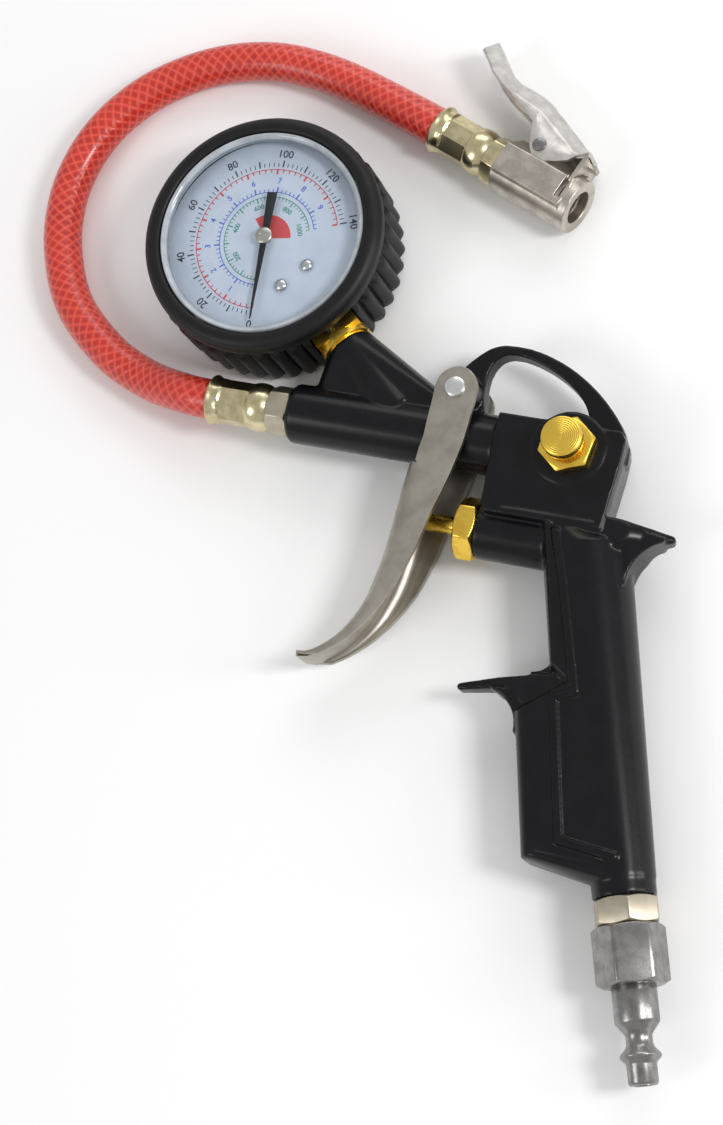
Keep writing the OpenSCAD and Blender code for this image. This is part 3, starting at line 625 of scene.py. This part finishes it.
# ---------------------------------------------------------------- trigger

def channel(rows):
    """Sheet bent to a channel. A row is (crown, hem, half width, bend radius, whether it has a crown)."""
    bends = flank = 6
    points, faces = [], []
    for crown, hem, half_width, bend, _ in rows:
        crown, hem = Vector(crown[:2]), Vector(hem[:2])
        depth = max((hem - crown).length, 0.05)
        way = (hem - crown) / depth
        bend = min(bend, depth * 0.8, half_width * 0.8)
        shares = [1 - (1 - bend / depth) * k / flank for k in range(flank + 1)]
        row = [(crown + way * depth * s, half_width) for s in shares]
        for k in range(1, bends + 1):
            a = math.pi / 2 * k / bends
            row.append((crown + way * bend * (1 - math.sin(a)), half_width - bend * (1 - math.cos(a))))
        flat = half_width - bend
        row += [(crown, flat * 0.66), (crown, flat * 0.33)]
        whole = row + [(crown, 0)] + [(p, -w) for p, w in row[::-1]]
        points += [(p.x, p.y, w) for p, w in whole]
    width = len(points) // len(rows)
    for i in range(len(rows) - 1):
        crowned = rows[i][4] and rows[i + 1][4]
        for k in range(width - 1):
            if crowned or k < flank or k >= width - 1 - flank:
                a, b = i * width + k, (i + 1) * width + k
                faces.append([a, b, b + 1, a + 1])
    return points, faces


def pressed(name, shape, place, thickness, edge, body, slot, replaces, finish=None):
    """Sheet metal: the outside of the bend as drawn, thickened inwards, with its edges eased."""
    obj = bare_object(name, *shape, place)
    panels = obj.data.polygons
    middle = sum((p.center for p in panels), Vector()) / len(panels)
    if panels[0].normal.dot(panels[0].center - middle) < 0:
        obj.data.flip_normals()
    sheet = obj.modifiers.new("sheet", "SOLIDIFY")
    sheet.thickness, sheet.offset, sheet.use_even_offset = thickness * MM, -1, True
    settle(obj)
    soften(obj, edge, 50)
    return fit_out(obj, body, slot, finish, replaces=replaces, smooth=44)


ear, half_lever = 6.2, 10.3
lever_rows = []
for rise in (88, 75, 60, 45, 30, 15, 0):
    reach, up = ear * math.cos(math.radians(rise)), ear * math.sin(math.radians(rise))
    crown, hem = (pivot.x - reach, pivot.y + up), (pivot.x + reach, pivot.y + up)
    lever_rows.append((crown, hem, half_lever, 0.4, False))
lever_rows += [(crown, hem, half_lever, bend, crowned) for crown, hem, bend, crowned in (
    ((42.2, 8), (54.5, 9), 0.4, False), ((42.2, 2), (54.4, 2.4), 0.4, False),
    ((42.2, -3), (54.1, -3.3), 0.5, False), ((41.5, -6.5), (53.5, -7.6), 0.8, False),
    ((40.8, -10), (52.8, -12), 1.4, False), ((40.2, -10.5), (52.7, -12.5), 2.6, True),
    ((39.4, -16), (51.6, -17.8), 4.2, True), ((39.0, -23), (50.3, -23), 5.0, True))]
front = bezier((38.9, -30), (38.6, -45), (36.0, -59.2), (25, -66.2), 16)
rear = bezier((49.2, -29.5), (46.4, -45), (40.4, -59.6), (27.4, -67.6), 16)
for crown, hem in zip(front, rear):
    narrowed = half_lever - 3.9 * max(0, -44 - crown.y) / 26
    lever_rows.append(((crown.x, crown.y), (hem.x, hem.y), narrowed, 5.0, True))
lever_rows.append(((23.4, -67.2), (24.2, -68.2), 6.4, 0.8, True))
lever_rows.append(((20.6, -67.5), (20.9, -68.3), 5.6, 0.6, True))
pressed("trigger_pressing", channel(lever_rows), DRAWING, 1.5, 0.38, "trigger", "trigger_steel",
        ["trigger_lever"])

rivet = [(0, -11.7), (2.2, -11.62), (2.75, -11.35), (2.95, -10.9), (2.95, -10.45), (2.2, -10.42),
         (2.2, 10.42), (2.95, 10.45), (2.95, 10.9), (2.75, 11.35), (2.2, 11.62), (0, 11.7)]
piece("trigger_rivet", turned(rivet, 64), DRAWING @ shift(*pivot.xy), "gun", "rivet_steel", edge=0,
      replaces=["trigger_pin"])


# ---------------------------------------------------------------- valve and bleeder

gland = joined(hexagonal(15.5, -5.8, 0, 2.6, phase=0),
               turned([(2.6, -6.5), (4.5, -6.5), (4.8, -6.2), (4.8, -5), (2.6, -5)], 64, closed=True),
               turned([(2.6, -0.2), (5.5, -0.2), (5.5, 7), (2.6, 7)], 64, closed=True))
piece("gland_nut_turned", gland, VALVE, "gun", "yellow_brass", edge=0.16, replaces=["gland_nut"])
stem = [(0, -19.75), (1.7, -19.75), (2.2, -19.5), (2.5, -19), (2.5, 9.5), (1.4, 9.6), (1.4, 16.6),
        (4.3, 16.6), (4.3, 18), (0, 18)]
piece("push_stem", turned(stem, 64), VALVE, "stem", "yellow_brass", edge=0.1, replaces=["valve_stem"])

bleed_nut = joined(hexagonal(14, 10.7, 13.9, 2.6, phase=52, chamfers=(0, 1)),
                   turned([(2.6, 4.7), (4.5, 4.7), (4.5, 10.9), (2.6, 10.9)], 64, closed=True))
piece("bleeder_nut_turned", bleed_nut, BLEEDER, "gun", "yellow_brass", edge=0.14, replaces=["bleed_nut"])
button = [(0, 1), (3.8, 1), (3.8, 3), (2.5, 3), (2.5, 16.6), (5.2, 16.6), (5.7, 17.0), (5.7, 19.9),
          (5.45, 20.3), (4.9, 20.5), (0, 20.42)]
piece("bleeder_button_faced", turned(button, 96), BLEEDER, "bleeder", "yellow_brass", edge=0.06,
      finish=faced_brass(), replaces=["bleed_button"])


# ---------------------------------------------------------------- inlet fittings

adapter = joined(hexagonal(16, 0.05, 7.2, 5.55, phase=-15),
                 turned([(5.55, -9.8), (6.25, -9.8), (6.25, 0.3), (5.55, 0.3)], 64, closed=True))
piece("inlet_adapter_turned", adapter, INLET, "gun", "nickel_brass", edge=0.18, replaces=["inlet_adapter"])
plug_turning = [(2.5, 14.9), (5.6, 14.9), (5.9, 15.4), (5.9, 24.4), (5.75, 25.0), (4.0, 27.2), (3.5, 28.0),
                (3.5, 30.3), (3.9, 31.3), (5.2, 32.7), (5.5, 33.3), (5.2, 33.9), (4.15, 34.9), (3.95, 35.5),
                (3.95, 40.0), (3.55, 40.7), (2.6, 40.7), (2.5, 40.5)]
plug = joined(hexagonal(17, 0.05, 15.4, 2.5, phase=15),
              turned([(2.5, -9.6), (5.5, -9.6), (5.5, 0.3), (2.5, 0.3)], 64, closed=True),
              turned(plug_turning, 96, closed=True))
piece("quick_plug_turned", plug, INLET @ shift(0, 0, 7.2), "gun", "plug_steel", edge=0.16,
      replaces=["quick_plug"])


# ---------------------------------------------------------------- hose fittings

def crimp(r, z, a):
    """Eight flats pressed into the sleeve between its lip and its collar."""
    pressed_in = smoothstep(z, 3.4, 4.1) * smoothstep(-z, -12.6, -11.9)
    d = math.radians((math.degrees(a) + 22.5) % 45 - 22.5)
    flat = min(r, 5.95 / math.cos(d))
    return r + (flat - r) * pressed_in


sleeve = [(3.2, 0.0), (6.5, -0.05), (7.1, 0.15), (7.25, 0.6), (7.0, 1.1), (6.65, 1.7)]
sleeve += [(6.55, z) for z in (2.2, 3.0, 3.4, 3.7, 3.9, 4.1, 6, 8, 10, 11.6, 11.9, 12.1, 12.3, 12.6)]
sleeve += [(6.75, 13.0), (6.95, 13.9), (7.0, 15.0), (6.9, 16.2), (6.6, 17.2), (6.1, 17.9), (5.9, 18.3),
           (3.2, 18.3)]
for spot, place, node in (("gun", GUN_HOSE_END, "gun_ferrule"), ("chuck", CHUCK_HOSE_END, "chuck_ferrule")):
    piece(spot + "_ferrule_crimped", turned(sleeve, 160, crimp, closed=True), place, "gun", "ferrule_brass",
          edge=0, replaces=[node], smooth=30)


def fitting(length, thread, thread_length):
    """A barbed hose fitting: the tail in the sleeve, the hexagon outside it and the threaded end."""
    start, bore, tail = 18.35, 2.1, 3.15
    end = start + length
    return joined(hexagonal(12.6, start, end, bore, phase=0),
                  turned([(bore, start - 18), (tail, start - 18), (tail, start + 0.3),
                          (bore, start + 0.3)], 48, closed=True),
                  turned([(bore, end - 0.2), (thread, end - 0.2), (thread, end + thread_length),
                          (bore, end + thread_length)], 48, closed=True))


piece("gun_hose_fitting_turned", fitting(6.58, 5, 8), GUN_HOSE_END, "gun", "nickel_brass",
      replaces=["gun_hose_fitting"])
piece("chuck_hose_fitting_turned", fitting(5, 4.5, 6), CHUCK_HOSE_END, "gun", "ferrule_brass",
      replaces=["chuck_hose_fitting"])


# ---------------------------------------------------------------- chuck

def trimmed_corners(points):
    """Brings the casting's lower corners in towards its axis."""
    _, v, w = points.T
    out = np.hypot(v, w)
    limit = 9.6 - 1.6 * smoothstep(-v, 3.0, 5.2)
    points[:, 1:] *= np.where(v < 0, np.minimum(1, limit / np.maximum(out, 1)), 1)[:, None]
    return points


chuck_body = remeshed("chuck_casting", "chuck_body", 0.24, 3)
reshape(chuck_body, CHUCK, trimmed_corners)
fit_out(chuck_body, "gun", "chuck_zinc", replaces=["chuck_body"], smooth=60)

# each row is (crown, shoulder, hem) of the lever in the chuck's side view
thumb_rows = [((1.2, 29.6), (0.0, 26.0), (-0.1, 25.0)), ((5.0, 27.0), (3.6, 23.6), (3.3, 22.7)),
              ((8.5, 24.8), (6.6, 21.4), (6.2, 20.5)), ((11.5, 23.1), (10.6, 19.7), (10.2, 18.8)),
              ((14.5, 22.2), (14.6, 18.5), (14.5, 17.6)), ((18.0, 22.2), (18.4, 18.1), (18.3, 16.4)),
              ((21.5, 22.1), (22.0, 17.9), (22.0, 15.1)), ((25.0, 21.7), (25.4, 17.4), (25.4, 13.6)),
              ((27.6, 20.9), (28.0, 16.6), (27.4, 9.6)), ((29.6, 20.0), (29.9, 15.9), (29.0, 6.9)),
              ((32.0, 19.2), (32.3, 15.1), (31.2, 4.9)), ((34.8, 18.1), (35.0, 14.1), (34.5, 4.9)),
              ((37.5, 17.1), (37.8, 13.0), (38.0, 6.6)), ((40.5, 15.9), (40.8, 11.9), (41.2, 8.7)),
              ((42.8, 14.9), (42.6, 12.0), (42.4, 10.6)), ((45.0, 14.4), (45.0, 13.6), (45.0, 13.2))]


def thumb_pressing(rows):
    """A narrow crown, a shoulder leaning out to each side, and cheeks with a pressed step."""
    points, faces = [], []
    for crown, shoulder, hem in rows:
        crown, shoulder, hem = Vector(crown), Vector(shoulder), Vector(hem)
        drop = hem - shoulder
        side = [(hem, 6.9), (shoulder + drop * 0.62, 6.9), (shoulder + drop * 0.36, 6.9),
                (shoulder + drop * 0.28, 6.5), (shoulder + drop * 0.1, 6.5), (shoulder, 6.35),
                (shoulder.lerp(crown, 0.08), 6.1), (shoulder.lerp(crown, 0.5), 5.0),
                (shoulder.lerp(crown, 0.92), 3.9), (crown, 3.5)]
        points += [(p.x, p.y, w) for p, w in side] + [(p.x, p.y, -w) for p, w in side[::-1]]
    width = len(points) // len(rows)
    for i in range(len(rows) - 1):
        for k in range(width - 1):
            a, b = i * width + k, (i + 1) * width + k
            faces.append([a, b, b + 1, a + 1])
    return points, faces


bright_zinc = metal("bright_zinc", rgb(0.70, 0.68, 0.645), rgb(0.57, 0.55, 0.52), 0.46, 0.12, size=1.2,
                    depth=0.02)
pressed("chuck_thumb_pressing", thumb_pressing(thumb_rows), CHUCK, 1.1, 0.2, "thumb_lever", "chuck_zinc",
        ["chuck_lever"], bright_zinc)
chuck_rivet = [(0, -7.7), (1.3, -7.65), (1.9, -7.4), (2.1, -6.95), (1.5, -6.9), (1.5, 6.9), (2.1, 6.95),
               (1.9, 7.4), (1.3, 7.65), (0, 7.7)]
piece("chuck_rivet", turned(chuck_rivet, 48), CHUCK @ shift(31.4, 8.6), "gun", "rivet_steel", edge=0,
      finish=metal("dark_rivet", rgb(0.30, 0.30, 0.30), rgb(0.22, 0.22, 0.22), 0.3, 0.1, size=0.8),
      replaces=["chuck_pin"])


# ---------------------------------------------------------------- gauge

rib_count = 42
boot_profile = [(22, -12), (31.8, -12), (33.2, -11.6), (34.0, -10.8), (34.4, -9.6), (34.5, -7), (34.5, -4),
                (34.5, 0), (34.5, 4), (34.5, 6.4), (34.5, 7.8), (34.6, 8.8), (35.2, 9.5), (35.4, 10.2),
                (35.4, 12.4), (35.1, 13.6), (34.3, 14.6), (33.0, 15.1), (31.6, 15.1), (30.9, 14.9),
                (30.5, 14.4), (30.4, 13.6), (30.4, 12.5), (31.45, 12.5), (31.45, -10.45), (22, -10.45)]


def ribbed(r, z, a):
    """Rounded grip ribs down the side of the boot."""
    if r < 33:
        return r
    wave = abs(math.sin(a * rib_count / 2)) ** 0.8
    stands = smoothstep(z, -11.4, -10.2) * smoothstep(-z, -9.2, -7.0)
    return r + (1.9 * wave - 0.35) * stands


boot = bare_object("boot_moulding", *turned(boot_profile, rib_count * 10, ribbed, closed=True), GAUGE)
notch = joined(block(25, 45, -7.6, 7.6, -13, 7.15), block(25, 45, -7.6, -2, 7.0, 10.2),
               block(25, 45, 2, 7.6, 7.0, 10.2))
cutter = bare_object("boot_cutter", *notch, GAUGE)
cut = boot.modifiers.new("notch", "BOOLEAN")
cut.operation, cut.object, cut.solver, cut.use_self = "DIFFERENCE", cutter, "EXACT", True
settle(boot)
bpy.data.objects.remove(cutter)
fit_out(boot, "gun", "boot_rubber", replaces=["gauge_boot"], smooth=40)

lens_profile = [(0, 14.05), (27.9, 14.05), (28.3, 14.0), (28.5, 12.9), (28.5, 12.25), (0, 12.25)]
piece("lens_moulding", turned(lens_profile, 128), GAUGE, "gun", "lens_clear", edge=0, replaces=["gauge_lens"])
rim_profile = [(28.55, 12.25), (28.55, 14.0), (29.0, 14.5), (29.5, 14.85), (29.95, 14.85), (30.2, 14.5),
               (30.2, 12.25)]
# clear rim drawn with the painted pale grey sheen instead of a clear finish
piece("lens_rim", turned(rim_profile, 128, closed=True), GAUGE, "gun", "lens_clear", edge=0,
      finish=lens_rim_painted_sheen)

dial_top = 9.0
ink_low, ink_high = dial_top + 0.01, dial_top + 0.06
scale_zero, scale_sweep, scale_full = -45.5, 254, 140


def dial_angle(share):
    """Direction in degrees, from the dial's middle, of a share of the scale."""
    return scale_zero - scale_sweep * share


def dial_way(share):
    a = math.radians(dial_angle(share))
    return math.cos(a), math.sin(a)


def tick(share, r0, r1, width):
    """A mark across the scale, from one radius to the other."""
    c, s = dial_way(share)
    half = width / 2
    outline = [(r0 * c - half * s, r0 * s + half * c), (r0 * c + half * s, r0 * s - half * c),
               (r1 * c + half * s, r1 * s - half * c), (r1 * c - half * s, r1 * s + half * c)]
    return slab(outline, ink_low, ink_high)


def ticks(count, major, minor):
    """Marks at equal steps, every fifth a major one. A kind is (inner radius, outer radius, width)."""
    return [tick(i / count, *(minor if i % 5 else major)) for i in range(count + 1)]


def arc_line(r, width):
    """A thin line all along the scale."""
    steps = 160
    points, faces = [], []
    for i in range(steps + 1):
        c, s = dial_way(i / steps)
        for q, z in ((r - width / 2, ink_low), (r + width / 2, ink_low), (r + width / 2, ink_high),
                     (r - width / 2, ink_high)):
            points.append((q * c, q * s, z))
    for i in range(steps):
        for k in range(4):
            faces.append([4 * i + k, 4 * i + (k + 1) % 4, 4 * i + 4 + (k + 1) % 4, 4 * i + 4 + k])
    faces += [[0, 1, 2, 3], [4 * steps + k for k in (3, 2, 1, 0)]]
    return points, faces


def number(text, share, r, size):
    """A number whose head points away from the dial's middle."""
    font = bpy.data.curves.new("number", "FONT")
    font.body, font.size = text, size
    font.align_x, font.align_y = "CENTER", "CENTER"
    font.extrude, font.offset = (ink_high - ink_low) / 2, 0.03
    obj = bpy.data.objects.new("number", font)
    bpy.context.scene.collection.objects.link(obj)
    bpy.context.view_layer.update()
    mesh = bpy.data.meshes.new_from_object(obj.evaluated_get(bpy.context.evaluated_depsgraph_get()))
    c, s = dial_way(share)
    spot = shift(r * c, r * s, (ink_low + ink_high) / 2) @ turn(dial_angle(share) - 90)
    shape = [tuple(spot @ v.co) for v in mesh.vertices], [list(p.vertices) for p in mesh.polygons]
    bpy.data.objects.remove(obj)
    return shape


black_print = ticks(70, (22.0, 24.0, 0.42), (22.0, 23.2, 0.22))
black_print += [number(str(v), v / scale_full, 25.9, 3.2) for v in range(0, 141, 20)]
red_print = [arc_line(21.2, 0.22)] + ticks(50, (19.7, 21.2, 0.55), (20.2, 21.2, 0.28))
blue_print = [arc_line(14.2, 0.2)] + ticks(49, (14.2, 15.8, 0.42), (14.2, 15.2, 0.22))
blue_print += [number(str(v), v / 9.8, 17.7, 2.4) for v in range(1, 10)]
green_print = [arc_line(12.8, 0.2)] + ticks(49, (11.2, 12.8, 0.36), (11.9, 12.8, 0.2))
green_print += [number(str(v), min(v / 980, 0.985), 9.9, 2.0) for v in range(200, 1001, 200)]
sector_ways = [math.radians(a) for a in range(50, 175, 4)]
sector = [(0, 0)] + [(7.2 * math.cos(a), 7.2 * math.sin(a)) for a in sector_ways]
red_print.append(slab(sector, ink_low, ink_high))
for ink, prints in (("black", black_print), ("red", red_print), ("blue", blue_print), ("green", green_print)):
    piece("dial_print_" + ink, joined(*prints), GAUGE, "gun", "dial_face", edge=0, finish=inks[ink])

screw = [(0, 8.9), (1.0, 8.9), (1.0, 9.1), (1.75, 9.15), (1.95, 9.4), (1.85, 9.8), (1.4, 10.25), (0.7, 10.5),
         (0, 10.56)]
screws = [moved(turned(screw, 40), shift(15, side * 4.6)) for side in (-1, 1)]
piece("dial_screw_heads", joined(*screws), GAUGE, "gun", "rivet_steel", edge=0, replaces=["dial_screws"])

needle_outline = [(25, 0.16), (25, -0.16), (2, -0.95), (1.2, -1.9), (-1.2, -1.9), (-2.4, -1.0), (-13.4, -1.5),
                  (-13.4, 1.5), (-2.4, 1.0), (-1.2, 1.9), (1.2, 1.9), (2, 0.95)]
piece("needle_blade", slab(needle_outline, 10.6, 11.05), GAUGE @ turn(scale_zero + 1.5), "needle",
      "pointer_black", edge=0.08, replaces=["pointer"])
hub = [(0, 9.4), (1.6, 9.4), (1.6, 10.6), (2.45, 11.0), (2.5, 11.3), (2.4, 11.75), (2.1, 11.98), (1.0, 12.05),
       (0.95, 11.9), (0, 11.9)]
piece("needle_hub", turned(hub, 64), GAUGE, "needle", "hub_metal", edge=0, replaces=["pointer_hub"])


# ---------------------------------------------------------------- stage

floor_mesh = bpy.data.meshes.new("floor")
floor_mesh.from_pydata([(-4, -4, 0), (4, -4, 0), (4, 4, 0), (-4, 4, 0)], [], [[0, 1, 2, 3]])
floor = bpy.data.objects.new("floor", floor_mesh)
floor_finish = Finish("pale_floor", Roughness=0.85, Specular_IOR_Level=0.1)
floor_cloud = floor_finish.grain(400)
floor_finish.drive(Base_Color=floor_finish.mix(floor_cloud, rgb(0.93, 0.93, 0.93), rgb(0.95, 0.95, 0.95)))
floor.data.materials.append(floor_finish.material)
bpy.context.scene.collection.objects.link(floor)


lit_middle = DRAWING @ Vector((25, -5, 0))


def softbox(name, power, width, height, right, up, back):
    """A soft light placed by its offset from the object along the camera's own axes, in metres."""
    data = bpy.data.lights.new(name, "AREA")
    data.shape, data.size, data.size_y, data.energy = "RECTANGLE", width, height, power
    spot = lit_middle + right * camera_right + up * camera_up + back * camera_back
    obj = bpy.data.objects.new(name, data)
    aim = (lit_middle - spot).to_track_quat("-Z", "Y")
    obj.matrix_world = Matrix.Translation(spot) @ aim.to_matrix().to_4x4()
    bpy.context.scene.collection.objects.link(obj)


softbox("key_light", 4.5, 0.22, 0.24, 0.50, 0.12, 0.95)
softbox("right_light", 2.8, 0.18, 0.6, 0.98, 0.08, 0.62)
softbox("left_light", 2.5, 0.4, 0.5, -0.95, -0.35, 0.65)
softbox("top_light", 4, 1.2, 0.5, 0.1, 1.25, 0.5)

world = bpy.data.worlds.new("studio")
world.use_nodes = True
sky = world.node_tree.nodes["Background"]
sky.inputs["Color"].default_value = rgb(1, 1, 1)
sky.inputs["Strength"].default_value = 0.55
bpy.context.scene.world = world
bpy.context.scene.view_settings.view_transform = "Standard"
